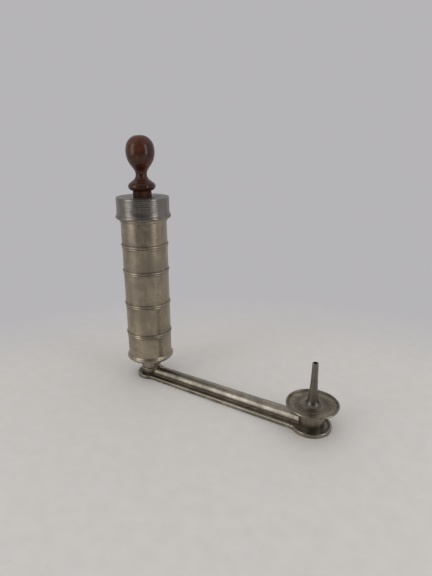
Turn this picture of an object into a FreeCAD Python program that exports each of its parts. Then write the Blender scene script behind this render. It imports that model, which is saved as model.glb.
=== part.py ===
import FreeCAD, Part
import os
from FreeCAD import Vector

# Hand syringe of cast and turned pewter, standing on the arm that joins its barrel to its nozzle.
# Millimetres. The barrel's axis is Z, the arm runs along +X, and the arm's underside is z = 0.

# Arm
arm_length = 244.3            # barrel axis to nozzle axis
barrel_dish_radius = 19.5
nozzle_dish_radius = 24.0
arm_half_width_barrel = 16.3
arm_half_width_nozzle = 17.7
plate_thickness = 3.0
lip_height = 4.8
lip_width = 2.6
dish_blend_radius = 5.0
underside_edge = 0.5
ridge_radius = 7.5
ridge_centre = 5.6
ridge_foot_radius = 1.6
ridge_foot_edge = 0.5
channel_radius = 3.6
channel_floor = 3.3           # bottom of the wells that the channel opens into
foot_edge = 0.2               # upright edge where a socket's cove meets the tray
lip_fillet = 0.7
channel_height = 7.4

# Screw threads, the same on all three screwed joints
pitch = 2.0
thread_turns = 3
thread_depth = 0.8
thread_clearance = 0.2
ridge_half_base = 0.5
ridge_half_crest = 0.28
ridge_bite = 0.3

# Barrel
barrel_radius = 30.0
bore_radius = 27.4
barrel_base = 32.0            # height of the tube's lower end
barrel_mouth = 250.4
bead_heights = (69.5, 112.2, 158.2, 192.7)
bead_radius = 31.0
rim_radius = 32.35
neck_radius = 13.7
neck_bottom = 14.4
neck_top = 28.2
outlet_radius = 5.0
nipple_root = 9.0
nipple_top = 24.6

# Washers
washer_thickness = 1.2

# Cap
cap_radius = 34.2
cap_top = 254.5
cap_bottom = 227.4
cap_bead_radius = 35.9
cap_inner_radius = 32.0
collar_root = 31.0
collar_bottom = 223.6
rod_radius = 12.0
rod_hole_radius = 12.3

# Plunger
knob_top = 329.3
knob_bottom = 262.2
tenon_radius = 5.5
tenon_length = 14.0
piston_bottom = 32.3          # the bottomed piston, just over the barrel's floor
disc_radius = 26.9
cup_radius = 27.2
disc_thickness = 6.0
cup_thickness = 2.0
cup_height = 8.0
packing_height = 17.0
core_radius = 7.0
screw_radius = 2.5

# Nozzle
boss_radius = 16.0
boss_top = 25.8
shield_radius = 31.2
shield_rim = 31.2             # height of the shield's widest edge
spigot_root = 7.5
spigot_bottom = 14.6
nozzle_tip = 84.4
tip_bore_radius = 2.5
foot_bore_radius = 3.6


def point(r, z):
    """A point of an outline, r from the axis and z up."""
    return Vector(r, 0, z)


def outline_face(points):
    """Face in the XZ plane. A point (r, z) is reached by a straight line, and a point
    (r, z, mid_r, mid_z) by an arc through the middle point."""
    edges = []
    here = point(*points[-1][:2])
    for step in points:
        there = point(*step[:2])
        if len(step) == 4:
            edges.append(Part.Arc(here, point(*step[2:]), there).toShape())
        else:
            edges.append(Part.LineSegment(here, there).toShape())
        here = there
    return Part.Face(Part.Wire(edges))


def turned(points, x=0.0):
    """Solid turned about a vertical axis at x."""
    solid = outline_face(points).revolve(Vector(0, 0, 0), Vector(0, 0, 1), 360)
    solid.translate(Vector(x, 0, 0))
    return solid


def cylinder(radius, bottom, top, x=0.0):
    return Part.makeCylinder(radius, top - bottom, Vector(x, 0, bottom), Vector(0, 0, 1))


def thread_ridge(wall, crest, bottom):
    """Helical ridge that stands from a wall radius to a crest radius, inwards or outwards."""
    inside = wall - ridge_bite if crest > wall else wall + ridge_bite
    corners = [
        point(inside, bottom - ridge_half_base),
        point(crest, bottom - ridge_half_crest),
        point(crest, bottom + ridge_half_crest),
        point(inside, bottom + ridge_half_base),
    ]
    section = Part.makePolygon(corners + corners[:1])
    helix = Part.makeHelix(pitch, pitch * thread_turns, wall)
    helix.translate(Vector(0, 0, bottom))
    sweep = Part.BRepOffsetAPI.MakePipeShell(Part.Wire(helix.Edges))
    sweep.setBiNormalMode(Vector(0, 0, 1))
    sweep.add(section)
    sweep.build()
    sweep.makeSolid()
    return sweep.shape()


def outer_thread(root, bottom):
    """Ridge of a male thread on a root radius."""
    return thread_ridge(root, root + thread_depth, bottom)


def inner_thread(root, bottom):
    """Ridge of the female thread that runs in the male thread on the root radius."""
    wall = root + thread_depth + thread_clearance
    return thread_ridge(wall, root + thread_clearance, bottom + pitch / 2)


def arm_plan(inset, bottom, top):
    """The arm's plan shape, two dishes joined by a slightly tapered bar, as an upright block."""
    near = arm_half_width_barrel - inset
    far = arm_half_width_nozzle - inset
    corners = [
        Vector(0, -near, bottom),
        Vector(arm_length, -far, bottom),
        Vector(arm_length, far, bottom),
        Vector(0, near, bottom),
    ]
    bar = Part.Face(Part.makePolygon(corners + corners[:1])).extrude(Vector(0, 0, top - bottom))
    barrel_dish = cylinder(barrel_dish_radius - inset, bottom, top)
    nozzle_dish = cylinder(nozzle_dish_radius - inset, bottom, top, arm_length)
    block = bar.fuse([barrel_dish, nozzle_dish]).removeSplitter()
    creases = [edge for edge in block.Edges if is_upright(edge)]
    return block.makeFillet(dish_blend_radius + inset, creases)


def is_upright(edge):
    first, last = edge.Vertexes[0].Point, edge.Vertexes[-1].Point
    return abs(first.x - last.x) < 0.01 and abs(first.y - last.y) < 0.01 and abs(first.z - last.z) > 0.1


def edges_at(shape, height):
    return [edge for edge in shape.Edges if all(abs(v.Point.z - height) < 0.01 for v in edge.Vertexes)]


def nipple_envelope():
    """Outside of the barrel's socket, from the tray up to its shoulder."""
    shoulder = neck_bottom - washer_thickness
    return [
        (0, plate_thickness),
        (15.0, plate_thickness),
        (15.0, plate_thickness + foot_edge),
        (13.4, 4.8, 13.87, 3.67),
        (13.4, shoulder),
        (0, shoulder),
    ]


def boss_envelope():
    """Outside of the nozzle's socket."""
    return [
        (0, plate_thickness),
        (16.9, plate_thickness),
        (16.9, plate_thickness + foot_edge),
        (15.3, 4.8, 15.77, 3.67),
        (boss_radius, boss_top - 3.0),
        (boss_radius, boss_top),
        (0, boss_top),
    ]


def base_plate():
    wall = arm_plan(0, 0, lip_height)
    wall = wall.makeFillet(lip_fillet, edges_at(wall, lip_height))
    wall = wall.makeChamfer(underside_edge, edges_at(wall, 0))
    return wall.cut(arm_plan(lip_width, plate_thickness, lip_height + 1))


def arm_conduit():
    foot = ridge_radius + ridge_foot_radius
    ledge = plate_thickness + ridge_foot_edge
    spring = ledge + ridge_foot_radius
    cove = ridge_foot_radius * (1 - 0.5 ** 0.5)
    section = outline_face([
        (foot, plate_thickness),
        (foot, ledge),
        (ridge_radius, spring, ridge_radius + cove, ledge + cove),
        (-ridge_radius, spring, 0, ridge_centre + ridge_radius),
        (-foot, ledge, -ridge_radius - cove, ledge + cove),
        (-foot, plate_thickness),
    ])
    section.rotate(Vector(0, 0, 0), Vector(0, 0, 1), 90)
    ridge = section.extrude(Vector(arm_length, 0, 0))
    channel = side_channel(0, arm_length)
    return ridge.cut([turned(nipple_envelope()), turned(boss_envelope(), arm_length), channel])


def side_channel(start, end):
    return Part.makeCylinder(channel_radius, end - start, Vector(start, 0, channel_height), Vector(1, 0, 0))


def barrel_nipple():
    foot = turned(nipple_envelope())
    shoulder = neck_bottom - washer_thickness
    nipple = turned([
        (0, shoulder),
        (nipple_root, shoulder),
        (nipple_root, nipple_top - 0.6),
        (nipple_root - 0.6, nipple_top),
        (0, nipple_top),
    ])
    body = foot.fuse([nipple, outer_thread(nipple_root, nipple_top - 8.0)])
    bore = cylinder(outlet_radius, channel_floor, nipple_top + 1)
    return body.cut([bore, side_channel(0, 20)])


def nozzle_boss():
    well = turned([
        (0, channel_floor),
        (6.0, channel_floor),
        (6.0, spigot_bottom - 1.4),
        (spigot_root + thread_depth + thread_clearance, spigot_bottom - 1.4),
        (spigot_root + thread_depth + thread_clearance, boss_top + 1),
        (0, boss_top + 1),
    ], arm_length)
    ridge = inner_thread(spigot_root, spigot_bottom + 0.6)
    ridge.translate(Vector(arm_length, 0, 0))
    shell = turned(boss_envelope(), arm_length).cut([well, side_channel(arm_length - 21, arm_length)])
    return shell.fuse(ridge)


def washer(hole, radius, bottom, x=0.0):
    edge = 0.3
    top = bottom + washer_thickness
    return turned([
        (hole, bottom),
        (radius - edge, bottom),
        (radius, bottom + edge),
        (radius, top - edge),
        (radius - edge, top),
        (hole, top),
    ], x)


def outlet_washer():
    return washer(nipple_root + thread_depth + 0.4, 12.9, neck_bottom - washer_thickness)


def nozzle_washer():
    return washer(spigot_root + thread_depth + 0.4, 13.6, boss_top, arm_length)


def cap_washer():
    return washer(bore_radius + 0.2, collar_root, barrel_mouth)


def bead(height):
    """A ring bead with a smaller one under it, as outline steps going up the barrel's outside."""
    small = barrel_radius + 0.45
    return [
        (barrel_radius, height - 4.0),
        (barrel_radius + 0.1, height - 1.7, small, height - 2.9),
        (barrel_radius, height + 1.6, bead_radius, height),
    ]


def barrel_tube():
    steps = [(bore_radius, barrel_base), (barrel_radius, barrel_base)]
    for height in bead_heights:
        steps += bead(height)
    steps += [(barrel_radius, barrel_mouth), (bore_radius, barrel_mouth)]
    return turned(steps)


def thread_collar():
    blank = turned([
        (barrel_radius, collar_bottom),
        (barrel_radius + 0.5, collar_bottom),
        (collar_root, collar_bottom + 1.0, barrel_radius + 0.85, collar_bottom + 0.3),
        (collar_root, barrel_mouth),
        (barrel_radius, barrel_mouth),
    ])
    return blank.fuse(outer_thread(collar_root, barrel_mouth - 7.4))


def barrel_floor():
    return turned([
        (neck_radius - 1.7, neck_top),
        (neck_radius + 0.5, neck_top),
        (30.4, 29.9, 23.0, 28.7),
        (31.4, 30.6),
        (31.4, 34.9, rim_radius, 32.8),
        (30.9, 36.2),
        (barrel_radius, 37.6, 30.5, 37.3),
        (barrel_radius, barrel_base),
        (neck_radius - 1.7, barrel_base),
    ])


def outlet_neck():
    socket = nipple_root + thread_depth + thread_clearance
    body = turned([
        (outlet_radius, nipple_top + 1.0),
        (socket, nipple_top + 1.0),
        (socket, neck_bottom),
        (neck_radius - 0.5, neck_bottom),
        (neck_radius, neck_bottom + 0.5),
        (neck_radius, neck_top),
        (neck_radius - 1.7, neck_top),
        (neck_radius - 1.7, barrel_base),
        (outlet_radius, barrel_base),
    ])
    return body.fuse(inner_thread(nipple_root, nipple_top - 8.0))


def cap():
    plate_bottom = barrel_mouth + washer_thickness
    shell = turned([
        (rod_hole_radius, plate_bottom),
        (cap_inner_radius, plate_bottom),
        (cap_inner_radius, cap_bottom),
        (34.6, cap_bottom),
        (35.3, 231.6, cap_bead_radius, 229.7),
        (cap_radius, 235.0, 34.45, 233.0),
        (cap_radius, cap_top - 0.7),
        (cap_radius - 0.7, cap_top, cap_radius - 0.2, cap_top - 0.2),
        (rod_hole_radius + 0.4, cap_top),
        (rod_hole_radius, cap_top - 0.4),
    ])
    return shell.fuse(inner_thread(collar_root, barrel_mouth - 7.4))


def smooth(points, start, end):
    """Smooth curve through outline points, with its direction at each end."""
    curve = Part.BSplineCurve()
    through = [point(*p) for p in points]
    curve.interpolate(Points=through, InitialTangent=point(*start), FinalTangent=point(*end))
    return curve.toShape()


def knob():
    head = smooth([
        (0, knob_top), (9.6, 327.2), (16.3, 319.8), (18.15, 309.4), (16.0, 298.6),
        (10.4, 289.8), (7.15, 282.6), (8.6, 277.4), (12.9, 273.6),
    ], start=(1, 0), end=(1, -0.7))
    step = Part.LineSegment(point(12.9, 273.6), point(13.5, 273.0)).toShape()
    collar = Part.Arc(point(13.5, 273.0), point(17.45, 267.4), point(14.2, 263.0)).toShape()
    foot = Part.makePolygon([point(14.2, 263.0), point(12.9, knob_bottom), point(0, knob_bottom), point(0, knob_top)])
    face = Part.Face(Part.Wire([head, step, collar] + foot.Edges))
    body = face.revolve(Vector(0, 0, 0), Vector(0, 0, 1), 360)
    return body.cut(cylinder(tenon_radius, knob_bottom, knob_bottom + tenon_length))


def piston_rod():
    packing_bottom = piston_bottom + disc_thickness
    shoulder = packing_bottom + packing_height + 2 * cup_thickness + disc_thickness
    rod = turned([
        (0, piston_bottom + 4.0),
        (core_radius, piston_bottom + 4.0),
        (core_radius, shoulder),
        (rod_radius, shoulder),
        (rod_radius, knob_bottom),
        (tenon_radius, knob_bottom),
        (tenon_radius, knob_bottom + tenon_length),
        (0, knob_bottom + tenon_length),
    ])
    return rod.cut(cylinder(screw_radius, piston_bottom, piston_bottom + 28.0))


def piston_disc(bottom, recess):
    """Wooden disc of the piston; the lower one has a recess for the screw's head."""
    top = bottom + disc_thickness
    disc = turned([
        (core_radius, bottom),
        (disc_radius - 0.8, bottom),
        (disc_radius, bottom + 0.8),
        (disc_radius, top - 0.8),
        (disc_radius - 0.8, top),
        (core_radius, top),
    ])
    return disc.fuse(recess) if recess else disc


def lower_piston_disc():
    floor = cylinder(core_radius, piston_bottom, piston_bottom + 4.0)
    hole = cylinder(screw_radius, piston_bottom, piston_bottom + 4.0)
    sink = cylinder(6.2, piston_bottom, piston_bottom + 2.6)
    return piston_disc(piston_bottom, floor).cut([hole, sink]).removeSplitter()


def upper_piston_disc():
    bottom = piston_bottom + disc_thickness + packing_height + 2 * cup_thickness
    return piston_disc(bottom, None)


def piston_cup(base, direction):
    """Leather cup with its wall turned over the packing; direction is up (1) or down (-1)."""
    wall = 1.6
    rim = base + direction * cup_height
    inside = base + direction * cup_thickness
    return turned([
        (core_radius, base),
        (cup_radius - 1.2, base),
        (cup_radius, base + direction * 1.2, cup_radius - 0.35, base + direction * 0.35),
        (cup_radius, rim),
        (cup_radius - wall, rim),
        (cup_radius - wall, inside),
        (core_radius, inside),
    ])


def lower_piston_cup():
    return piston_cup(piston_bottom + disc_thickness, 1)


def upper_piston_cup():
    return piston_cup(piston_bottom + disc_thickness + packing_height + 2 * cup_thickness, -1)


def piston_packing():
    """Wound packing, fuller in the gap between the two cups."""
    bottom = piston_bottom + disc_thickness + cup_thickness
    top = bottom + packing_height
    inner = cup_radius - 1.6
    wall_height = cup_height - cup_thickness
    return turned([
        (core_radius, bottom),
        (inner, bottom),
        (inner, bottom + wall_height),
        (inner, top - wall_height, cup_radius, (bottom + top) / 2),
        (inner, top),
        (core_radius, top),
    ])


def piston_screw():
    head_bottom = piston_bottom + 0.2
    head_top = piston_bottom + 2.6
    head = turned([
        (0, head_bottom),
        (5.4, head_bottom),
        (6.0, head_bottom + 0.6),
        (6.0, head_top),
        (screw_radius, head_top),
        (screw_radius, piston_bottom + 26.0),
        (0, piston_bottom + 28.0),
    ])
    slot = Part.makeBox(14, 1.2, 1.2, Vector(-7, -0.6, head_bottom - 0.2))
    return head.cut(slot)


def nozzle_shield():
    hub = boss_top + washer_thickness
    disc = turned([
        (foot_bore_radius, spigot_bottom),
        (spigot_root - 0.5, spigot_bottom),
        (spigot_root, spigot_bottom + 0.5),
        (spigot_root, hub),
        (13.8, hub),
        (15.2, 28.2),
        (27.6, 29.2),
        (shield_radius, shield_rim, 30.4, 29.9),
        (28.9, 31.7, 30.4, 32.5),
        (27.6, 30.9),
        (19.9, 30.4),
        (18.3, 30.4, 19.1, 30.85),
        (11.6, 30.9),
        (5.0, 30.9),
        (5.0, 27.6),
        (foot_bore_radius, 27.6),
    ])
    return place_at_nozzle(disc.fuse(outer_thread(spigot_root, spigot_bottom + 0.6)))


def place_at_nozzle(shape):
    shape.translate(Vector(arm_length, 0, 0))
    return shape


def nozzle_pipe():
    return place_at_nozzle(turned([
        (5.0, 27.6),
        (5.0, 30.9),
        (10.4, 30.9),
        (9.3, 31.9, 10.3, 31.7),
        (5.8, 39.5, 6.85, 34.9),
        (4.35, 56.0, 4.95, 47.6),
        (3.62, 81.6),
        (tip_bore_radius + 0.1, nozzle_tip, 3.3, 83.8),
        (tip_bore_radius, nozzle_tip - 0.1),
        (tip_bore_radius, nozzle_tip - 16.0),
        (foot_bore_radius, 36.0),
        (foot_bore_radius, 27.6),
    ]))


SUBPARTS = [
    base_plate, arm_conduit, barrel_nipple, nozzle_boss,
    outlet_washer, barrel_tube, thread_collar, barrel_floor, outlet_neck,
    cap_washer, cap,
    knob, piston_rod, upper_piston_disc, upper_piston_cup, piston_packing,
    lower_piston_cup, lower_piston_disc, piston_screw,
    nozzle_washer, nozzle_shield, nozzle_pipe,
]

os.makedirs("parts", exist_ok=True)
for subpart in SUBPARTS:
    shape = subpart()
    solids = shape.Solids
    print(f"{subpart.__name__:20s} solids {len(solids)} valid {shape.isValid()} volume {shape.Volume:10.1f}")
    solid = solids[0] if len(solids) == 1 else shape
    solid.exportStep(f"parts/{subpart.__name__}.step")
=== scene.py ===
import math

import bpy
import numpy as np
from mathutils import Matrix, Vector
from mathutils.geometry import interpolate_bezier


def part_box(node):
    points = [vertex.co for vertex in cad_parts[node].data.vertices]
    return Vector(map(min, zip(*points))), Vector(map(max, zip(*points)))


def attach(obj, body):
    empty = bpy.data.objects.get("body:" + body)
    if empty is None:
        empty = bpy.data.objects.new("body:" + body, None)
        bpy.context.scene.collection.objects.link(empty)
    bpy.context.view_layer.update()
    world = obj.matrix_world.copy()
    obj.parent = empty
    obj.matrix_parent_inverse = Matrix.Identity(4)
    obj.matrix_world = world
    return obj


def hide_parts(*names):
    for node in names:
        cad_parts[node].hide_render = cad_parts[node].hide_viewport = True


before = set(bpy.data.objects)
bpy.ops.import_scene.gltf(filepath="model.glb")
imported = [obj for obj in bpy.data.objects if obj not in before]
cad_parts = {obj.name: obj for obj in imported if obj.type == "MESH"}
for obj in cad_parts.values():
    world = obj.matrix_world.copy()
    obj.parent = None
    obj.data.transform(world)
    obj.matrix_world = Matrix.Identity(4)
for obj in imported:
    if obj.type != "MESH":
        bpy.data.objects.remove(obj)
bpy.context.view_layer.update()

# Sizes, in millimetres unless a name says otherwise. What the pieces share is read from the parts in
# model.glb.
MM = 0.001
ARM_LENGTH = (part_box("nozzle_shield")[0].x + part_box("nozzle_shield")[1].x) / 2 / MM
BARREL_RADIUS = 30.0
BORE_RADIUS = 27.4
BARREL_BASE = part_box("barrel_tube")[0].z / MM
BARREL_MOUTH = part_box("barrel_tube")[1].z / MM
BEAD_HEIGHTS = (69.5, 112.2, 158.2, 192.7)
CAP_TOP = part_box("cap")[1].z / MM
CAP_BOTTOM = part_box("cap")[0].z / MM
CAP_RADIUS = 34.2
CAP_BORE = 32.0
ROD_RADIUS = 12.0
KNOB_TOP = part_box("knob")[1].z / MM
KNOB_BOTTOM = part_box("knob")[0].z / MM
PLATE_TOP = 3.0
LIP_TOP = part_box("base_plate")[1].z / MM
LIP_WIDTH = 2.6
NECK_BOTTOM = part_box("outlet_neck")[0].z / MM
NIPPLE_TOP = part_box("barrel_nipple")[1].z / MM
WASHER = 1.2
BOSS_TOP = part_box("nozzle_boss")[1].z / MM
SPIGOT_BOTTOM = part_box("nozzle_shield")[0].z / MM
NOZZLE_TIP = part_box("nozzle_pipe")[1].z / MM
SHIELD_RADIUS = 31.2
PITCH = 2.0
THREAD_TURNS = 3
THREAD_DEPTH = 0.8
THREAD_BITE = 0.4
THREAD_HALF_ROOT = 0.45
THREAD_HALF_CREST = 0.27
THREAD_STEPS = 48
# Radius of the first or last ring of a turned piece at its axis, which merges into one point.
POLE = 0.005
# Points closer than this are merged.
MERGE = 0.02


# Modelling helpers

def blend_list(points, steps=3):
    """Points on a smooth curve that flows through the given outline points."""
    knots = [Vector(p) for p in points]
    drawn = [knots[0]]
    for before, here, there, after in zip(knots[:1] + knots, knots, knots[1:], knots[2:] + knots[-1:]):
        leave = here + (there - before) / 6
        arrive = there - (after - here) / 6
        drawn += interpolate_bezier(here, leave, arrive, there, steps + 1)[1:]
    return [tuple(p) for p in drawn]


def crisp(corners, reach=0.35):
    """Each outline corner becomes two points close by, so that rounding keeps it crisp."""
    points = []
    for before, here, after in zip(corners[-1:] + corners, corners, corners[1:] + corners[:1]):
        for other in (before, after):
            share = min(reach / max(math.dist(here, other), 0.01), 0.3)
            points.append(tuple(h + (o - h) * share for h, o in zip(here, other)))
    return points


def stepped(points, longest=10.0, closed=True):
    """Adds points on long runs, so that the surface can be uneven there."""
    filled = []
    for here, there in zip(points, points[1:] + (points[:1] if closed else [])):
        parts = max(1, math.ceil(math.dist(here, there) / longest))
        filled += [tuple(h + (t - h) * i / parts for h, t in zip(here, there)) for i in range(parts)]
    return filled if closed else filled + points[-1:]


def alone(piece):
    """Makes the piece the only selected and active one."""
    bpy.ops.object.select_all(action="DESELECT")
    piece.select_set(True)
    bpy.context.view_layer.objects.active = piece
    return piece


def apply_modifier(piece, kind, **settings):
    alone(piece)
    modifier = piece.modifiers.new(kind.lower(), kind)
    for name, value in settings.items():
        setattr(modifier, name, value)
    bpy.ops.object.modifier_apply(modifier=modifier.name)
    return piece


def settle(piece):
    """Place goes into the mesh, faces point outwards and shade smoothly."""
    alone(piece)
    bpy.ops.object.transform_apply(location=True, rotation=True, scale=True)
    bpy.ops.object.mode_set(mode="EDIT")
    bpy.ops.mesh.select_all(action="SELECT")
    bpy.ops.mesh.remove_doubles(threshold=MERGE * MM)
    bpy.ops.mesh.normals_make_consistent(inside=False)
    bpy.ops.object.mode_set(mode="OBJECT")
    bpy.ops.object.shade_smooth()
    return piece


def lathe(name, rings, axis_x=0.0, sides=48, closed=True, rounding=2):
    """A turned piece. One circle is drawn out ring by ring along the outline (radius, height),
    back to its start or to the axis, and is then rounded."""
    radius, height = rings[0]
    centre = axis_x * MM
    bpy.ops.object.select_all(action="DESELECT")
    bpy.ops.mesh.primitive_circle_add(vertices=sides, radius=radius * MM,
                                      location=(centre, 0, height * MM))
    piece = bpy.context.object
    piece.name = name
    bpy.ops.object.mode_set(mode="EDIT")
    bpy.ops.mesh.select_all(action="SELECT")
    for next_radius, next_height in rings[1:] + (rings[:1] if closed else []):
        rise = (0, 0, (next_height - height) * MM)
        bpy.ops.mesh.extrude_edges_move(TRANSFORM_OT_translate={"value": rise})
        grow = next_radius / radius
        bpy.ops.transform.resize(value=(grow, grow, 1), center_override=(centre, 0, next_height * MM))
        radius, height = next_radius, next_height
    bpy.ops.object.mode_set(mode="OBJECT")
    settle(piece)
    return apply_modifier(piece, "SUBSURF", levels=rounding, render_levels=rounding)


def drawn(name, corners):
    """A flat face in one piece, its outline drawn corner by corner."""
    bpy.ops.object.select_all(action="DESELECT")
    bpy.ops.mesh.primitive_plane_add(size=MM, location=Vector(corners[0]) * MM)
    piece = bpy.context.object
    piece.name = name
    bpy.ops.object.transform_apply(location=True)
    bpy.ops.object.mode_set(mode="EDIT")
    bpy.ops.mesh.select_all(action="SELECT")
    bpy.ops.mesh.merge(type="CENTER")
    for here, there in zip(corners, corners[1:] + corners[:1]):
        step = (Vector(there) - Vector(here)) * MM
        bpy.ops.mesh.extrude_vertices_move(TRANSFORM_OT_translate={"value": step})
    bpy.ops.mesh.select_all(action="SELECT")
    bpy.ops.mesh.remove_doubles(threshold=MERGE * MM)
    bpy.ops.mesh.edge_face_add()
    bpy.ops.object.mode_set(mode="OBJECT")
    return piece


def thread(wall, crest, bottom, axis_x=0.0):
    """A screw thread's ridge: its section is drawn and wound up round the axis."""
    root = wall - THREAD_BITE if crest > wall else wall + THREAD_BITE
    ridge = drawn("thread", [(root, 0, bottom - THREAD_HALF_ROOT), (crest, 0, bottom - THREAD_HALF_CREST),
                             (crest, 0, bottom + THREAD_HALF_CREST), (root, 0, bottom + THREAD_HALF_ROOT)])
    steps = THREAD_TURNS * THREAD_STEPS
    apply_modifier(ridge, "SCREW", angle=THREAD_TURNS * math.tau, screw_offset=THREAD_TURNS * PITCH * MM,
                   steps=steps, render_steps=steps, use_normal_calculate=True)
    bpy.ops.object.mode_set(mode="EDIT")
    bpy.ops.mesh.select_all(action="DESELECT")
    bpy.ops.mesh.select_non_manifold()
    bpy.ops.mesh.edge_face_add()
    bpy.ops.object.mode_set(mode="OBJECT")
    ridge.location.x = axis_x * MM
    return settle(ridge)


def joined(name, pieces):
    alone(pieces[0])
    for piece in pieces:
        piece.select_set(True)
    bpy.ops.object.join()
    pieces[0].name = name
    return pieces[0]


def uneven(piece, size, depth):
    """Slight waves of worn metal and wood, size across and depth high."""
    clouds = bpy.data.textures.new(piece.name + "_waves", "CLOUDS")
    clouds.noise_scale = size * MM
    clouds.noise_depth = 1
    apply_modifier(piece, "DISPLACE", texture=clouds, strength=depth * MM, mid_level=0.5,
                   texture_coords="LOCAL")


def pressed(piece, spot, push, reach):
    """Moves the surface around the point nearest to a spot, as a knock does."""
    place = Vector(spot) * MM
    nearest = min(piece.data.vertices, key=lambda vertex: (vertex.co - place).length).index
    alone(piece)
    bpy.ops.object.mode_set(mode="EDIT")
    bpy.ops.mesh.select_mode(type="VERT")
    bpy.ops.mesh.select_all(action="DESELECT")
    bpy.ops.object.mode_set(mode="OBJECT")
    piece.data.vertices[nearest].select = True
    bpy.ops.object.mode_set(mode="EDIT")
    bpy.ops.transform.translate(value=Vector(push) * MM, use_proportional_edit=True,
                                use_proportional_connected=True, proportional_edit_falloff="SMOOTH",
                                proportional_size=reach * MM)
    bpy.ops.object.mode_set(mode="OBJECT")


def dent(piece, angle, height, radius, reach, depth):
    """A shallow dint in a turned wall of the given radius, at an angle in degrees and a height."""
    turn = math.radians(angle)
    across, along = math.cos(turn), math.sin(turn)
    pressed(piece, (radius * across, radius * along, height), (-depth * across, -depth * along, 0), reach)


def mark_wear(piece, rounds=20, full=0.10, edges=1.0):
    """Keeps how deep in a hollow and how proud on an edge each point lies, for the patina and for painted
    shade in the hollows. A point that lies off the smoothed surface by the full depth counts as 1."""
    mesh = piece.data
    count = len(mesh.vertices)
    place = np.zeros(count * 3)
    mesh.vertices.foreach_get("co", place)
    place = place.reshape(-1, 3)
    facing = np.zeros(count * 3)
    mesh.vertices.foreach_get("normal", facing)
    ends = np.zeros(len(mesh.edges) * 2, int)
    mesh.edges.foreach_get("vertices", ends)
    a, b = ends.reshape(-1, 2).T
    links = np.bincount(a, minlength=count) + np.bincount(b, minlength=count)
    soft = place.copy()
    for _ in range(rounds):
        total = np.zeros_like(soft)
        for axis in range(3):
            total[:, axis] = np.bincount(a, soft[b, axis], count) + np.bincount(b, soft[a, axis], count)
        soft = 0.5 * soft + 0.5 * total / np.maximum(links, 1)[:, None]
    depth = ((soft - place) * facing.reshape(-1, 3)).sum(1) / (full * MM)
    for name, values in (("hollow", depth), ("proud", -depth * edges)):
        kept = mesh.attributes.new(name, "FLOAT", "POINT")
        kept.data.foreach_set("value", np.clip(values, 0, 1).astype(np.float32))


# Node helpers

def node(tree, kind, sockets=None, **settings):
    """A node with its settings. A socket's value is another node's output, or a plain value."""
    made = tree.nodes.new(kind)
    for name, value in settings.items():
        setattr(made, name, value)
    for name, value in (sockets or {}).items():
        if isinstance(value, bpy.types.NodeSocket):
            tree.links.new(value, made.inputs[name])
        else:
            made.inputs[name].default_value = value
    return made


def maths(tree, operation, first, second=0.0, third=0.0, clamp=False):
    return node(tree, "ShaderNodeMath", {0: first, 1: second, 2: third}, operation=operation,
                use_clamp=clamp).outputs[0]


def spread(tree, value, low, high, to_low=0.0, to_high=1.0):
    """The value's range from low to high, stretched and clamped to a new range."""
    return node(tree, "ShaderNodeMapRange", {"Value": value, "From Min": low, "From Max": high,
                                             "To Min": to_low, "To Max": to_high}).outputs[0]


def mixed(tree, factor, first, second, way="MIX"):
    """Colour mix; sockets 6 and 7 are the node's colour inputs and output 2 its colour."""
    return node(tree, "ShaderNodeMix", {0: factor, 6: first, 7: second}, data_type="RGBA",
                blend_type=way).outputs[2]


def grey(tree, value):
    return node(tree, "ShaderNodeCombineColor", {0: value, 1: value, 2: value}).outputs[0]


def noise(tree, place, scale, detail=3.0, roughness=0.55, distortion=0.0):
    return node(tree, "ShaderNodeTexNoise", {"Vector": place, "Scale": scale, "Detail": detail,
                                             "Roughness": roughness, "Distortion": distortion}).outputs[0]


def stretched(tree, place, scale):
    return node(tree, "ShaderNodeVectorMath", {0: place, 1: scale}, operation="MULTIPLY").outputs[0]


SOCKET_KINDS = {"value": "NodeSocketFloat", "colour": "NodeSocketColor", "vector": "NodeSocketVector"}


def new_group(name, inputs, outputs):
    tree = bpy.data.node_groups.new(name, "ShaderNodeTree")
    for way, sockets in (("INPUT", inputs), ("OUTPUT", outputs)):
        for label, kind in sockets.items():
            tree.interface.new_socket(label, in_out=way, socket_type=SOCKET_KINDS[kind])
    return tree, tree.nodes.new("NodeGroupInput").outputs, tree.nodes.new("NodeGroupOutput")


def finish_group(tree, way_out, results):
    for label, value in results.items():
        tree.links.new(value, way_out.inputs[label])
    return tree


def turned_place_group():
    """Radius from a lathe axis and height, with a little of the angle, for lines cut by turning."""
    tree, given, out = new_group("turned_place", {"Place": "vector", "Axis X": "value"}, {"Place": "vector"})
    split = node(tree, "ShaderNodeSeparateXYZ", {0: given["Place"]}).outputs
    x = maths(tree, "SUBTRACT", split["X"], given["Axis X"])
    y = split["Y"]
    squares = maths(tree, "ADD", maths(tree, "MULTIPLY", x, x), maths(tree, "MULTIPLY", y, y))
    angle = maths(tree, "MULTIPLY", maths(tree, "ARCTAN2", y, x), 0.0006)
    place = node(tree, "ShaderNodeCombineXYZ", {"X": maths(tree, "SQRT", squares), "Y": angle,
                                                "Z": split["Z"]}).outputs[0]
    return finish_group(tree, out, {"Place": place})


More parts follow.
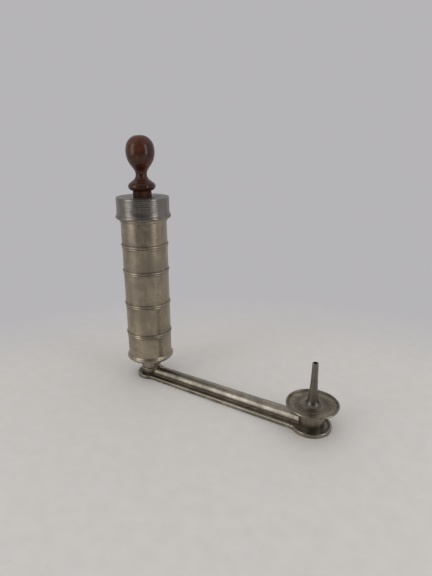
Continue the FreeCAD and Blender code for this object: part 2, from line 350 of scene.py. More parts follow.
def aged_metal_group():
    """Skin of old metal: clouded bright and dull, grime in hollows that also paints their shade, bare metal
    on edges, fine lines, wiping marks and small pits."""
    tree, given, out = new_group(
        "aged_metal",
        {"Place": "vector", "Line Place": "vector", "Hollow": "value", "Proud": "value", "Lines": "value",
         "Roughness": "value", "Bright": "colour", "Dull": "colour", "Grime": "colour"},
        {"Colour": "colour", "Roughness": "value", "Relief": "value"})
    place = given["Place"]
    broad = spread(tree, noise(tree, place, 34, 5, 0.6), 0.40, 0.62)
    cloud = noise(tree, place, 150, 6, 0.68)
    wipes = noise(tree, stretched(tree, place, (1, 1, 0.07)), 420, 4, 0.6)
    lines = noise(tree, given["Line Place"], 460, 5, 0.75)
    pits = spread(tree, noise(tree, place, 700, 3, 0.75), 0.67, 0.74)
    blotch = spread(tree, noise(tree, place, 60, 6, 0.72, 0.6), 0.56, 0.69)
    tarnish = maths(tree, "MULTIPLY", blotch, 0.60)
    depth = maths(tree, "POWER", given["Hollow"], 0.8)
    grime_and_shade = maths(tree, "MAXIMUM", maths(tree, "MAXIMUM", depth, maths(tree, "MULTIPLY", pits, 0.7)), tarnish)
    grime_and_shade = maths(tree, "MULTIPLY", grime_and_shade, spread(tree, cloud, 0.3, 0.6, 0.7, 1.0), clamp=True)
    tone = maths(tree, "MULTIPLY", spread(tree, cloud, 0.3, 0.7, 0.80, 1.18),
                 spread(tree, wipes, 0.3, 0.7, 0.88, 1.10))
    streaks = noise(tree, stretched(tree, place, (1, 1, 0.12)), 95, 3, 0.6)
    tone = maths(tree, "MULTIPLY", tone, spread(tree, streaks, 0.32, 0.66, 0.72, 1.18))
    line_tone = maths(tree, "MULTIPLY", maths(tree, "SUBTRACT", lines, 0.5), given["Lines"])
    tone = maths(tree, "MULTIPLY_ADD", line_tone, 2.2, tone)
    colour = mixed(tree, broad, given["Bright"], given["Dull"])
    colour = mixed(tree, 1.0, colour, grey(tree, tone), "MULTIPLY")
    # Hollows, pits and tarnish take the grime colour; in the hollows this darkening is painted shade as well
    # as grime.
    colour = mixed(tree, grime_and_shade, colour, given["Grime"])
    bare = maths(tree, "MULTIPLY", given["Proud"], 0.55)
    colour = mixed(tree, bare, colour, given["Bright"])
    rough = maths(tree, "ADD", given["Roughness"], spread(tree, cloud, 0.3, 0.7, -0.05, 0.08))
    rough = maths(tree, "ADD", rough, maths(tree, "MULTIPLY", broad, 0.05))
    rough = maths(tree, "ADD", rough, maths(tree, "MULTIPLY", grime_and_shade, 0.16))
    rough = maths(tree, "SUBTRACT", rough, maths(tree, "MULTIPLY", given["Proud"], 0.10), clamp=True)
    relief = maths(tree, "ADD", maths(tree, "MULTIPLY", cloud, 0.5), maths(tree, "MULTIPLY", wipes, 0.12))
    line_relief = maths(tree, "MULTIPLY", lines, maths(tree, "MULTIPLY", given["Lines"], 0.6))
    relief = maths(tree, "ADD", relief, line_relief)
    relief = maths(tree, "SUBTRACT", relief, maths(tree, "MULTIPLY", pits, 0.5))
    return finish_group(tree, out, {"Colour": colour, "Roughness": rough, "Relief": relief})


def seam_group():
    """Adds a soldered seam up the lower part of the barrel to the hollows."""
    seam_turn, seam_foot, seam_end = 0.401, 0.104, 0.112
    tree, given, out = new_group("seam_line", {"Place": "vector", "Hollow": "value"}, {"Hollow": "value"})
    split = node(tree, "ShaderNodeSeparateXYZ", {0: given["Place"]}).outputs
    waver = maths(tree, "MULTIPLY", maths(tree, "SUBTRACT", noise(tree, given["Place"], 90, 2), 0.5), 0.02)
    angle = maths(tree, "ADD", maths(tree, "ARCTAN2", split["Y"], split["X"]), waver)
    beside = maths(tree, "ABSOLUTE", maths(tree, "ADD", angle, seam_turn))
    line = spread(tree, beside, 0.004, 0.018, 0.6, 0.0)
    line = maths(tree, "MULTIPLY", line, spread(tree, split["Z"], seam_foot, seam_end, 1.0, 0.0))
    hollow = maths(tree, "MAXIMUM", given["Hollow"], line)
    return finish_group(tree, out, {"Hollow": hollow})


def wood_grain_group():
    """Close-grained hardwood turned with its grain along Z: growth rings, pores, and darkening in hollows
    that is grime and painted shade.
    """
    tree, given, out = new_group(
        "wood_grain",
        {"Place": "vector", "Hollow": "value", "Light": "colour", "Middle": "colour", "Dark": "colour"},
        {"Colour": "colour", "Roughness": "value", "Relief": "value"})
    place = given["Place"]
    rings = node(tree, "ShaderNodeTexWave", {"Vector": stretched(tree, place, (1, 1, 0.10)), "Scale": 150,
                                             "Distortion": 7.0, "Detail": 4.0, "Detail Scale": 2.5},
                 wave_type="BANDS", bands_direction="DIAGONAL").outputs["Fac"]
    pores = noise(tree, stretched(tree, place, (1, 1, 0.06)), 1500, 3, 0.6)
    fleck = noise(tree, stretched(tree, place, (1, 1, 0.25)), 260, 5, 0.65)
    broad = noise(tree, place, 38, 4, 0.6)
    turning = noise(tree, stretched(tree, place, (0.06, 0.06, 1)), 620, 4, 0.7)
    shade = maths(tree, "ADD", maths(tree, "MULTIPLY", rings, 0.20), maths(tree, "MULTIPLY", fleck, 0.55))
    shade = maths(tree, "MULTIPLY_ADD", turning, 0.25, shade)
    colour = mixed(tree, spread(tree, shade, 0.32, 0.66), given["Dark"], given["Middle"])
    colour = mixed(tree, spread(tree, broad, 0.46, 0.66, 0.0, 0.75), colour, given["Light"])
    colour = mixed(tree, spread(tree, pores, 0.56, 0.68, 0.0, 0.6), colour, given["Dark"])
    # Hollows go towards the dark colour: grime, and painted shade in grooves and undercuts.
    colour = mixed(tree, maths(tree, "MULTIPLY", given["Hollow"], 0.85), colour, given["Dark"])
    rough = spread(tree, maths(tree, "ADD", fleck, maths(tree, "MULTIPLY", given["Hollow"], 0.5)), 0.3, 1.0,
                   0.30, 0.60)
    relief = maths(tree, "SUBTRACT", maths(tree, "MULTIPLY", fleck, 0.5),
                   maths(tree, "MULTIPLY", pores, 0.35))
    return finish_group(tree, out, {"Colour": colour, "Roughness": rough, "Relief": relief})


def leather_grain_group():
    """Greased leather: fine cells, creases and darker worn spots."""
    tree, given, out = new_group("leather_grain", {"Place": "vector", "Light": "colour", "Dark": "colour"},
                                 {"Colour": "colour", "Roughness": "value", "Relief": "value"})
    cells = node(tree, "ShaderNodeTexVoronoi", {"Vector": given["Place"], "Scale": 1400},
                 feature="DISTANCE_TO_EDGE").outputs["Distance"]
    creases = noise(tree, given["Place"], 300, 5, 0.7)
    wear = noise(tree, given["Place"], 70, 4, 0.6)
    worn = maths(tree, "ADD", wear, maths(tree, "MULTIPLY", creases, 0.5))
    colour = mixed(tree, spread(tree, worn, 0.5, 1.0), given["Dark"], given["Light"])
    relief = maths(tree, "ADD", spread(tree, cells, 0.0, 0.12), maths(tree, "MULTIPLY", creases, 0.6))
    return finish_group(tree, out, {"Colour": colour, "Roughness": spread(tree, wear, 0.3, 0.7, 0.5, 0.78),
                                    "Relief": relief})


TURNED_PLACE = turned_place_group()
SEAM_LINE = seam_group()
AGED_METAL = aged_metal_group()
WOOD_GRAIN = wood_grain_group()
LEATHER_GRAIN = leather_grain_group()


# Materials

def surface(name, effect, sockets, bump=0.05, coat=0.0, metallic=0.0, seam=False, **fixed):
    """A material whose colour, roughness and relief come from one effect group."""
    material = bpy.data.materials.new(name)
    material.use_nodes = True
    tree = material.node_tree
    shader = tree.nodes["Principled BSDF"]
    place = node(tree, "ShaderNodeTexCoord").outputs["Object"]
    skin = node(tree, "ShaderNodeGroup", {"Place": place}, node_tree=effect)
    marks = {}
    for label in ("Hollow", "Proud"):
        if label in skin.inputs:
            marks[label] = node(tree, "ShaderNodeAttribute", attribute_name=label.lower()).outputs["Fac"]
    if seam:
        marks["Hollow"] = node(tree, "ShaderNodeGroup", {"Place": place, "Hollow": marks["Hollow"]},
                               node_tree=SEAM_LINE).outputs["Hollow"]
    for label, mark in marks.items():
        tree.links.new(mark, skin.inputs[label])
    if "Line Place" in skin.inputs:
        turned = node(tree, "ShaderNodeGroup", {"Place": place, "Axis X": sockets.pop("Axis X", 0.0)},
                      node_tree=TURNED_PLACE)
        tree.links.new(turned.outputs["Place"], skin.inputs["Line Place"])
    for label, value in sockets.items():
        skin.inputs[label].default_value = value
    tree.links.new(skin.outputs["Colour"], shader.inputs["Base Color"])
    tree.links.new(skin.outputs["Roughness"], shader.inputs["Roughness"])
    raised = node(tree, "ShaderNodeBump", {"Height": skin.outputs["Relief"], "Strength": 1.0,
                                           "Distance": bump * MM})
    tree.links.new(raised.outputs["Normal"], shader.inputs["Normal"])
    shader.inputs["Metallic"].default_value = metallic
    shader.inputs["Coat Weight"].default_value = coat
    for label, value in fixed.items():
        shader.inputs[label.replace("_", " ")].default_value = value
    return material


def pewter(name, bright, dull, grime_and_shade, roughness, lines, axis_x=0.0, bump=0.05, seam=False):
    return surface(name, AGED_METAL, {"Bright": bright, "Dull": dull, "Grime": grime_and_shade, "Roughness": roughness,
                                      "Lines": lines, "Axis X": axis_x}, bump=bump, metallic=1.0, seam=seam)


def wood(name, light, middle, dark, coat):
    return surface(name, WOOD_GRAIN, {"Light": light, "Middle": middle, "Dark": dark}, bump=0.06, coat=coat,
                   Coat_Roughness=0.07, Specular_IOR_Level=0.06)


def leather(name, light, dark):
    return surface(name, LEATHER_GRAIN, {"Light": light, "Dark": dark}, bump=0.12)


# The third colour of each pewter darkens its hollows, pits and tarnish: grime, and painted shade in the
# hollows.
PEWTER_BARREL = pewter("pewter_barrel", (0.37, 0.315, 0.235, 1), (0.205, 0.18, 0.153, 1),
                       (0.08, 0.065, 0.045, 1), 0.36, 0.26, seam=True)
PEWTER_CAP = pewter("pewter_cap", (0.245, 0.222, 0.203, 1), (0.145, 0.13, 0.12, 1), (0.06, 0.05, 0.045, 1),
                    0.35, 0.50, bump=0.016)
PEWTER_ARM = pewter("pewter_arm", (0.37, 0.33, 0.27, 1), (0.215, 0.19, 0.15, 1), (0.11, 0.09, 0.066, 1),
                    0.30, 0.06, bump=0.07)
PEWTER_NOZZLE = pewter("pewter_nozzle", (0.31, 0.27, 0.21, 1), (0.20, 0.17, 0.13, 1), (0.06, 0.05, 0.036, 1),
                       0.30, 0.16, axis_x=ARM_LENGTH * MM)
# The tube's pewter is a darker copy of the nozzle's, painted shade for the dim side of the room that the thin
# tube reflects.
PEWTER_TUBE_SHADED = pewter("pewter_tube_shaded", (0.25, 0.22, 0.18, 1), (0.165, 0.145, 0.12, 1), (0.055, 0.046, 0.034, 1),
                     0.32, 0.20, axis_x=ARM_LENGTH * MM)
KNOB_WOOD = wood("knob_wood", (0.100, 0.030, 0.013, 1), (0.050, 0.012, 0.005, 1),
                 (0.014, 0.005, 0.003, 1), 0.62)
ROD_WOOD = wood("rod_wood", (0.105, 0.048, 0.028, 1), (0.060, 0.024, 0.014, 1),
                (0.018, 0.008, 0.005, 1), 0.0)
PISTON_WOOD = wood("piston_wood", (0.42, 0.27, 0.15, 1), (0.30, 0.18, 0.095, 1),
                   (0.14, 0.08, 0.04, 1), 0.0)
SEAL_LEATHER = leather("seal_leather", (0.15, 0.11, 0.075, 1), (0.05, 0.037, 0.026, 1))
HEMP = leather("tallowed_hemp", (0.52, 0.42, 0.27, 1), (0.25, 0.19, 0.11, 1))
BRASS = surface("screw_brass", AGED_METAL, {"Bright": (0.70, 0.52, 0.24, 1), "Dull": (0.48, 0.34, 0.15, 1),
                                            "Grime": (0.10, 0.07, 0.03, 1), "Roughness": 0.35, "Lines": 0.1},
                metallic=1.0)


# Pieces

def dress(piece, body, material, slot, *nodes):
    """Gives a finished piece its finish, its body and the nodes that it stands for."""
    piece.data.materials.clear()
    piece.data.materials.append(material)
    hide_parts(*nodes)
    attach(piece, body)
    return piece


def bead(height):
    """Outline of a ring bead with a smaller one under it, going up."""
    steps = ((0.0, -4.6), (0.05, -4.0), (0.5, -3.5), (0.68, -2.9), (0.5, -2.3), (0.08, -1.95), (0.12, -1.6),
             (0.9, -1.2), (1.3, -0.5), (1.3, 0.4), (0.9, 1.2), (0.1, 1.6), (0.0, 2.3))
    return [(BARREL_RADIUS + out, height + up) for out, up in steps]


def barrel_shell():
    """Barrel wall with four ring beads, slightly dinted."""
    outside = [(BORE_RADIUS, BARREL_BASE), (BORE_RADIUS + 0.3, BARREL_BASE), (BARREL_RADIUS, BARREL_BASE)]
    for height in BEAD_HEIGHTS:
        outside += bead(height)
    outside += [(BARREL_RADIUS, BARREL_MOUTH - 0.4), (BARREL_RADIUS - 0.3, BARREL_MOUTH),
                (BORE_RADIUS + 0.3, BARREL_MOUTH), (BORE_RADIUS, BARREL_MOUTH - 0.4)]
    piece = lathe("barrel_shell", stepped(outside, 9.0))
    uneven(piece, 22, 0.16)
    mark_wear(piece)
    dints = ((-62, 142, 9, 0.35), (-30, 100, 7, 0.25), (-80, 58, 8, 0.3), (20, 176, 10, 0.3),
             (110, 126, 12, 0.4), (190, 88, 9, 0.3), (-45, 214, 7, 0.22))
    for angle, height, reach, depth in dints:
        dent(piece, angle, height, BARREL_RADIUS, reach, depth)
    return dress(piece, "barrel", PEWTER_BARREL, "pewter", "barrel_tube")


def barrel_foot():
    """Barrel floor with its heavier rim bead and the sloping underside."""
    rim = blend_list([(30.05, 37.6), (30.35, 36.9), (31.0, 36.0), (31.35, 34.9), (32.2, 34.0), (32.4, 32.8),
                      (32.1, 31.4), (31.3, 30.5), (30.4, 29.9)], 2)
    under = [(23.0, 28.75), (14.4, 28.2), (12.2, 28.2), (12.0, 28.4), (12.0, 31.8), (12.2, 32.0),
             (29.8, 32.0), (30.0, 32.2)]
    piece = lathe("barrel_foot", stepped(rim + under, 6.0))
    uneven(piece, 18, 0.12)
    mark_wear(piece)
    return dress(piece, "barrel", PEWTER_BARREL, "pewter", "barrel_floor")


def cap_shell():
    """Screw cap: flat top with a turned edge, finely grooved side, flared bead and inner thread."""
    plate_bottom = BARREL_MOUTH + WASHER
    side = []
    groove_depth, groove_half = 0.13, 0.45
    for height in (250.6, 248.9, 246.0, 243.4, 241.9, 239.6, 237.8):
        side += [(CAP_RADIUS, height + groove_half), (CAP_RADIUS - groove_depth, height),
                 (CAP_RADIUS, height - groove_half)]
    flare = blend_list([(CAP_RADIUS, 235.4), (34.45, 233.2), (35.2, 231.7), (35.95, 230.2), (35.85, 228.7),
                        (34.9, 227.5)], 2)
    top = [(12.4, plate_bottom + 0.3), (12.4, CAP_TOP - 0.6), (12.7, CAP_TOP - 0.1), (13.1, CAP_TOP),
           (19.0, CAP_TOP), (19.4, CAP_TOP - 0.12), (19.8, CAP_TOP), (29.6, CAP_TOP), (30.0, CAP_TOP - 0.15),
           (30.4, CAP_TOP), (33.2, CAP_TOP), (33.9, CAP_TOP - 0.2), (CAP_RADIUS, CAP_TOP - 0.9)]
    inside = [(34.4, CAP_BOTTOM), (CAP_BORE + 0.2, CAP_BOTTOM), (CAP_BORE, CAP_BOTTOM + 0.3),
              (CAP_BORE, plate_bottom - 0.3), (CAP_BORE - 0.3, plate_bottom), (12.7, plate_bottom)]
    shell = lathe("cap_shell", stepped(top + side + flare + inside, 8.0))
    uneven(shell, 26, 0.10)
    mark_wear(shell)
    dent(shell, -70, 238, CAP_RADIUS, 7, 0.25)
    dent(shell, 60, 246, CAP_RADIUS, 9, 0.3)
    ridge = thread(CAP_BORE, CAP_BORE - THREAD_DEPTH, BARREL_MOUTH - 7.4 + PITCH / 2)
    piece = joined("cap_shell", [shell, ridge])
    return dress(piece, "screw_cap", PEWTER_CAP, "pewter", "cap")


def turned_knob():
    """Wooden knob: egg-shaped head with a scored line, waist, and a collar over the rod."""
    head = blend_list([(POLE, KNOB_TOP), (5.0, KNOB_TOP - 0.35), (9.6, 327.2), (13.6, 323.8), (16.3, 319.8),
                       (17.7, 315.0), (18.15, 309.4)], 2)
    score = [(18.12, 307.5), (18.05, 306.95), (17.82, 306.7), (17.98, 306.4), (17.95, 305.9)]
    waist = blend_list([(17.3, 302.8), (15.9, 298.4), (13.3, 293.9), (10.3, 289.9), (8.0, 286.4),
                        (7.2, 283.0), (7.3, 280.4), (8.3, 277.7), (10.1, 275.5), (12.4, 273.9)], 2)
    step = [(12.9, 273.75), (13.1, 273.3), (13.15, 272.9), (13.6, 272.8)]
    collar = blend_list([(14.6, 272.3), (16.4, 270.6), (17.45, 268.3), (17.4, 266.1), (16.2, 264.0),
                         (14.4, 262.8)], 2)
    foot = [(13.2, KNOB_BOTTOM + 0.1), (12.7, KNOB_BOTTOM), (6.0, KNOB_BOTTOM), (POLE, KNOB_BOTTOM)]
    piece = lathe("turned_knob", head + score + waist + step + collar + foot, closed=False)
    uneven(piece, 14, 0.10)
    mark_wear(piece, full=0.12)
    return dress(piece, "plunger", KNOB_WOOD, "turned_wood", "knob")


def turned_rod():
    """Plain rod between knob and piston, with its tenon through the piston."""
    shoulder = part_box("upper_piston_disc")[1].z / MM
    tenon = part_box("piston_rod")[0].z / MM
    top = KNOB_BOTTOM + 0.05
    outline = [(POLE, top), (6.0, top)] + crisp([(0, top), (ROD_RADIUS, top), (ROD_RADIUS, shoulder),
                                                 (7.0, shoulder), (7.0, tenon), (0, tenon)])[2:-2]
    outline += [(5.0, tenon), (POLE, tenon)]
    piece = lathe("turned_rod", stepped(outline, 12.0, closed=False), closed=False)
    uneven(piece, 30, 0.12)
    mark_wear(piece, full=0.12)
    return dress(piece, "plunger", ROD_WOOD, "turned_wood", "piston_rod")


def plan_outline():
    """Plan of the arm's tray, anticlockwise: round dishes, blends and nearly straight sides."""
    blend = 5.0
    dishes = ((0.0, 19.5, 16.3, -1), (ARM_LENGTH, 24.0, 17.7, 1))
    upper = []
    for centre, radius, half_width, way in dishes:
        reach = math.sqrt((radius + blend) ** 2 - (half_width + blend) ** 2)
        start = math.atan2(half_width + blend, reach)
        turn = [start + (math.pi - start) * i / 24 for i in range(25)]
        dish = [(centre - way * radius * math.cos(t), radius * math.sin(t)) for t in turn]
        swing = [math.pi / 2 - (math.pi / 2 - start) * i / 4 for i in range(4)]
        bend = [(centre - way * (reach - blend * math.cos(t)), half_width + blend - blend * math.sin(t))
                for t in swing]
        upper.append(bend + dish)
    barrel_end, nozzle_end = upper
    run_start, run_end = barrel_end[0], nozzle_end[0]
    run = [tuple(a + (b - a) * i / 24 for a, b in zip(run_start, run_end)) for i in range(1, 24)]
    half = nozzle_end[::-1] + run[::-1] + barrel_end
    return half + [(x, -y) for x, y in half[-2:0:-1]]


def tray():
    """Tray of the arm with its raised lip, up from below the underside. The lip is drawn a little
    higher and narrower than in the solid."""
    under = -0.5
    change = 0.1
    piece = drawn("tray", [(x, y, under) for x, y in plan_outline()])
    bpy.ops.object.mode_set(mode="EDIT")
    bpy.ops.mesh.select_all(action="SELECT")
    rise = (0, 0, (LIP_TOP + change - under) * MM)
    bpy.ops.mesh.extrude_region_move(TRANSFORM_OT_translate={"value": rise})
    bpy.ops.mesh.inset(thickness=(LIP_WIDTH - change) * MM)
    drop = (0, 0, (PLATE_TOP - LIP_TOP - change) * MM)
    bpy.ops.mesh.extrude_region_move(TRANSFORM_OT_translate={"value": drop})
    bpy.ops.object.mode_set(mode="OBJECT")
    return settle(piece)


def ridge():
    """Half-round hollow ridge along the tray, with coved feet."""
    half_width, top, cove, floor = 7.5, 13.2, 1.6, PLATE_TOP
    spring = floor + cove
    foot = [(half_width + cove - cove * math.sin(t), spring - cove * math.cos(t))
            for t in (math.radians(a) for a in (0, 30, 60, 90))]
    arch = [(half_width * math.cos(t), spring + (top - spring) * math.sin(t))
            for t in (math.radians(a) for a in range(12, 90, 12))]
    side = [(half_width + cove + 0.3, floor - 0.8)] + foot + arch
    section = side + [(0, top)] + [(-y, z) for y, z in reversed(side)]
    inside_sockets = 6.0
    start, end = inside_sockets, ARM_LENGTH - inside_sockets
    piece = drawn("ridge", [(start, y, z) for y, z in section])
    bpy.ops.object.mode_set(mode="EDIT")
    bpy.ops.mesh.select_all(action="SELECT")
    bpy.ops.mesh.extrude_region_move(TRANSFORM_OT_translate={"value": ((end - start) * MM, 0, 0)})
    bpy.ops.object.mode_set(mode="OBJECT")
    return settle(piece)


def arm_casting():
    """Tray and ridge as one casting, edges and corners softened by wear, cut flat underneath."""
    piece = joined("arm_casting", [tray(), ridge()])
    apply_modifier(piece, "REMESH", mode="VOXEL", voxel_size=0.62 * MM)
    apply_modifier(piece, "SMOOTH", factor=0.5, iterations=2)
    uneven(piece, 30, 0.24)
    alone(piece)
    bpy.ops.object.mode_set(mode="EDIT")
    bpy.ops.mesh.select_all(action="SELECT")
    bpy.ops.mesh.bisect(plane_co=(0, 0, 0), plane_no=(0, 0, 1), use_fill=True, clear_inner=True,
                        threshold=1e-6)
    bpy.ops.object.mode_set(mode="OBJECT")
    bpy.ops.object.shade_smooth()
    # Sixty rounds let the hollow reach across the tray's trough beside the ridge, which then darkens as grime
    # and as painted shade.
    mark_wear(piece, rounds=60, full=0.5, edges=0.5)
    return dress(piece, "arm", PEWTER_ARM, "pewter", "base_plate", "arm_conduit")


def barrel_socket():
    """Round socket under the barrel with the threaded nipple that holds the barrel."""
    shoulder = NECK_BOTTOM - WASHER
    foot = [(13.9, PLATE_TOP), (13.55, 3.9), (13.4, 5.4)]
    nipple, outlet = 9.0, 5.0
    upper = crisp([(13.4, shoulder), (nipple, shoulder), (nipple, NIPPLE_TOP), (outlet, NIPPLE_TOP),
                   (outlet, PLATE_TOP - 1), (13.9, PLATE_TOP - 1)])
    shell = lathe("barrel_socket", stepped(foot + upper, 5.0))
    uneven(shell, 12, 0.10)
    mark_wear(shell, full=0.25, edges=0.6)
    piece = joined("barrel_socket", [shell, thread(nipple, nipple + THREAD_DEPTH, NIPPLE_TOP - 8.0)])
    return dress(piece, "arm", PEWTER_ARM, "pewter", "barrel_nipple")


def nozzle_socket():
    """Wider socket under the nozzle: nearly straight wall and threaded well."""
    well, floor = 8.5, SPIGOT_BOTTOM - 1.4
    foot = [(15.8, PLATE_TOP), (15.45, 3.9), (15.3, 6.0), (15.5, 10.0), (15.8, 16.0), (16.0, 22.0)]
    upper = crisp([(16.0, BOSS_TOP), (well, BOSS_TOP), (well, floor), (6.0, floor), (6.0, PLATE_TOP - 1),
                   (15.8, PLATE_TOP - 1)])
    shell = lathe("nozzle_socket", stepped(foot + upper, 5.0), ARM_LENGTH)
    uneven(shell, 12, 0.12)
    mark_wear(shell, full=0.25, edges=0.6)
    ridge_inside = thread(well, well - THREAD_DEPTH, SPIGOT_BOTTOM + 0.6 + PITCH / 2, ARM_LENGTH)
    piece = joined("nozzle_socket", [shell, ridge_inside])
    return dress(piece, "arm", PEWTER_ARM, "pewter", "nozzle_boss")


def nozzle_plate():
    """Thin round shield with a rolled rim, two fine rings and the threaded spigot under it."""
    hub = BOSS_TOP + WASHER
    screw = 7.5
    spigot = crisp([(3.6, SPIGOT_BOTTOM), (screw, SPIGOT_BOTTOM), (screw, hub), (13.8, hub)])[1:]
    rim = blend_list([(15.4, 28.1), (22.0, 28.8), (27.8, 29.3), (30.0, 29.7), (31.1, 30.6),
                      (SHIELD_RADIUS, 31.6), (30.6, 32.4), (29.7, 32.5), (28.9, 31.7), (28.3, 30.9),
                      (27.4, 30.65), (25.0, 30.7)], 2)
    face = [(24.4, 30.7), (24.0, 30.6), (23.6, 30.7), (20.0, 30.4), (19.6, 30.6), (19.1, 30.85), (18.6, 30.6),
            (18.2, 30.4), (14.0, 30.5), (11.8, 30.85), (5.4, 30.9), (5.0, 30.7), (5.0, 27.8), (4.8, 27.6),
            (3.8, 27.6), (3.6, 27.3)]
    shell = lathe("nozzle_plate", stepped(spigot + rim + face, 5.0), ARM_LENGTH)
    uneven(shell, 16, 0.22)
    mark_wear(shell, full=0.12)
    rim_waves = ((-65, -0.55, 24), (15, 0.45, 22), (150, 0.4, 20), (-150, -0.35, 18))
    for angle, rise, reach in rim_waves:
        turn = math.radians(angle)
        spot = (ARM_LENGTH + SHIELD_RADIUS * math.cos(turn), SHIELD_RADIUS * math.sin(turn), 31)
        pressed(shell, spot, (0, 0, rise), reach)
    ridge_outside = thread(screw, screw + THREAD_DEPTH, SPIGOT_BOTTOM + 0.6, ARM_LENGTH)
    piece = joined("nozzle_plate", [shell, ridge_outside])
    return dress(piece, "nozzle", PEWTER_NOZZLE, "pewter", "nozzle_shield")


def nozzle_tube():
    """Tapered tube with a trumpet foot on a small ring, open at its rounded tip."""
    trumpet = blend_list([(11.4, 30.95), (10.4, 31.2), (9.2, 31.85), (7.9, 32.9), (6.85, 34.9), (6.2, 37.2),
                          (5.8, 39.5), (5.3, 43.4), (4.95, 47.6), (4.62, 51.8), (4.35, 56.0), (4.0, 65.0),
                          (3.8, 73.0), (3.66, 81.2)], 2)
    opening = 2.5
    tip = [(3.6, 82.8), (3.45, 83.9), (3.05, NOZZLE_TIP - 0.05), (2.7, NOZZLE_TIP - 0.1),
           (opening, NOZZLE_TIP - 0.7)]
    bore = [(opening, NOZZLE_TIP - 16), (3.6, 36.0), (3.6, 28.0), (3.8, 27.6), (4.8, 27.6), (5.0, 27.9),
            (5.0, 30.7), (5.2, 30.85), (10.8, 30.85)]
    piece = lathe("nozzle_tube", stepped(trumpet + tip + bore, 6.0), ARM_LENGTH, sides=32)
    mark_wear(piece, full=0.09)
    return dress(piece, "nozzle", PEWTER_TUBE_SHADED, "pewter", "nozzle_pipe")


barrel_shell()
barrel_foot()
cap_shell()
turned_knob()
turned_rod()
arm_casting()
barrel_socket()
nozzle_socket()
nozzle_plate()
nozzle_tube()

NODE_FINISHES = {
    "thread_collar": PEWTER_BARREL,
    "outlet_neck": PEWTER_ARM,
    "outlet_washer": SEAL_LEATHER,
    "cap_washer": SEAL_LEATHER,
    "nozzle_washer": SEAL_LEATHER,
    "upper_piston_disc": PISTON_WOOD,
    "lower_piston_disc": PISTON_WOOD,
    "upper_piston_cup": SEAL_LEATHER,
    "lower_piston_cup": SEAL_LEATHER,
    "piston_packing": HEMP,
    "piston_screw": BRASS,
}
for node_name, finish in NODE_FINISHES.items():
    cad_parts[node_name].material_slots[0].material = finish


# Stage: floor, surroundings, lamps and camera

def soft_floor():
    """Pale floor that fades out all round the object into the surroundings' colour."""
    middle, fade_start, fade_end = (0.27, -0.25, 0), 0.45, 0.70
    bpy.ops.object.select_all(action="DESELECT")
    bpy.ops.mesh.primitive_plane_add(size=4.0, location=(0.12, 0, 0))
    floor = bpy.context.object
    floor.name = "floor"
    material = bpy.data.materials.new("pale_floor")
    material.use_nodes = True
    tree = material.node_tree
    shader = tree.nodes["Principled BSDF"]
    geometry = node(tree, "ShaderNodeNewGeometry").outputs["Position"]
    grain = noise(tree, geometry, 60, 4, 0.6)
    specks = spread(tree, noise(tree, geometry, 330, 2, 0.5), 0.735, 0.76)
    darker, lighter = (0.565, 0.545, 0.525, 1), (0.59, 0.57, 0.55, 1)
    colour = mixed(tree, spread(tree, grain, 0.35, 0.65), darker, lighter)
    colour = mixed(tree, maths(tree, "MULTIPLY", specks, 0.35), colour, (0.30, 0.28, 0.26, 1))
    tree.links.new(colour, shader.inputs["Base Color"])
    tree.links.new(spread(tree, grain, 0.3, 0.7, 0.55, 0.7), shader.inputs["Roughness"])
    shader.inputs["Specular IOR Level"].default_value = 0.25
    away = node(tree, "ShaderNodeVectorMath", {0: geometry, 1: middle}, operation="DISTANCE")
    fade = spread(tree, away.outputs["Value"], fade_start, fade_end)
    clear = node(tree, "ShaderNodeBsdfTransparent").outputs[0]
    both = node(tree, "ShaderNodeMixShader", {0: fade, 1: shader.outputs[0], 2: clear}).outputs[0]
    tree.links.new(both, tree.nodes["Material Output"].inputs["Surface"])
    floor.data.materials.append(material)


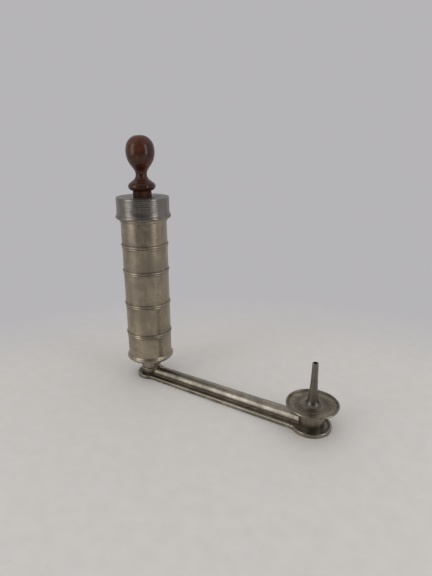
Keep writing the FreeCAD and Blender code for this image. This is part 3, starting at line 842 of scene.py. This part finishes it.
def surroundings():
    """Plain grey surroundings; shiny surfaces see the same grey, darker on the side of the camera."""
    world = bpy.data.worlds.new("surroundings")
    bpy.context.scene.world = world
    world.use_nodes = True
    tree = world.node_tree
    sky = tree.nodes["Background"]
    way = node(tree, "ShaderNodeTexCoord").outputs["Generated"]
    dark_side = (0.66, -0.75, 0.0)
    side = node(tree, "ShaderNodeVectorMath", {0: way, 1: dark_side}, operation="DOT_PRODUCT")
    dimmer = spread(tree, side.outputs["Value"], 0.25, 0.90, 1.0, 0.18)
    shine = mixed(tree, 1.0, (0.49, 0.485, 0.49, 1), grey(tree, dimmer), "MULTIPLY")
    path = node(tree, "ShaderNodeLightPath").outputs
    seen = maths(tree, "MAXIMUM", path["Is Camera Ray"], path["Is Transmission Ray"])
    lit = mixed(tree, path["Is Glossy Ray"], (0.82, 0.815, 0.81, 1), shine)
    tree.links.new(mixed(tree, seen, lit, (0.465, 0.456, 0.470, 1)), sky.inputs["Color"])


def lamp(name, azimuth, distance, height, width, tall, power):
    """A soft upright lamp that faces the middle of the object; azimuth in degrees from +X."""
    turn = math.radians(azimuth)
    middle = 0.08
    target = Vector((middle, 0, 0.14))
    place = Vector((middle + distance * math.cos(turn), distance * math.sin(turn), height))
    data = bpy.data.lights.new(name, "AREA")
    data.shape = "RECTANGLE"
    data.size = width
    data.size_y = tall
    data.energy = power
    light = bpy.data.objects.new(name, data)
    bpy.context.scene.collection.objects.link(light)
    light.visible_camera = False
    light.location = place
    light.rotation_euler = (target - place).to_track_quat("-Z", "Y").to_euler()


def camera():
    """Camera at the photograph's place; focal length in pixels of a 432 by 576 picture."""
    focal_pixels, picture_height, sensor = 450.4, 576, 36.0
    place = Vector((392.0, -445.5, 327.0)) * MM
    yaw, pitch, roll = math.radians(32.21), math.radians(18.58), math.radians(-0.13)
    level = Vector((-math.sin(yaw), math.cos(yaw), 0))
    forward = level * math.cos(pitch) - Vector((0, 0, math.sin(pitch)))
    right = level.cross(Vector((0, 0, 1)))
    up = right.cross(forward)
    level_right, level_up = right, up
    right = level_right * math.cos(roll) + level_up * math.sin(roll)
    up = level_up * math.cos(roll) - level_right * math.sin(roll)
    data = bpy.data.cameras.new("camera")
    data.sensor_fit = "VERTICAL"
    data.sensor_height = sensor
    data.lens = focal_pixels / picture_height * sensor
    data.clip_start = 0.01
    eye = bpy.data.objects.new("camera", data)
    bpy.context.scene.collection.objects.link(eye)
    eye.matrix_world = Matrix.Translation(place) @ Matrix((right, up, -forward)).transposed().to_4x4()
    bpy.context.scene.camera = eye


soft_floor()
surroundings()
lamp("left_lamp", -116, 1.1, 0.50, 0.50, 1.0, 2.8)
lamp("right_lamp", 0, 1.1, 0.50, 0.38, 1.0, 2.5)
camera()
bpy.context.scene.view_settings.view_transform = "Standard"
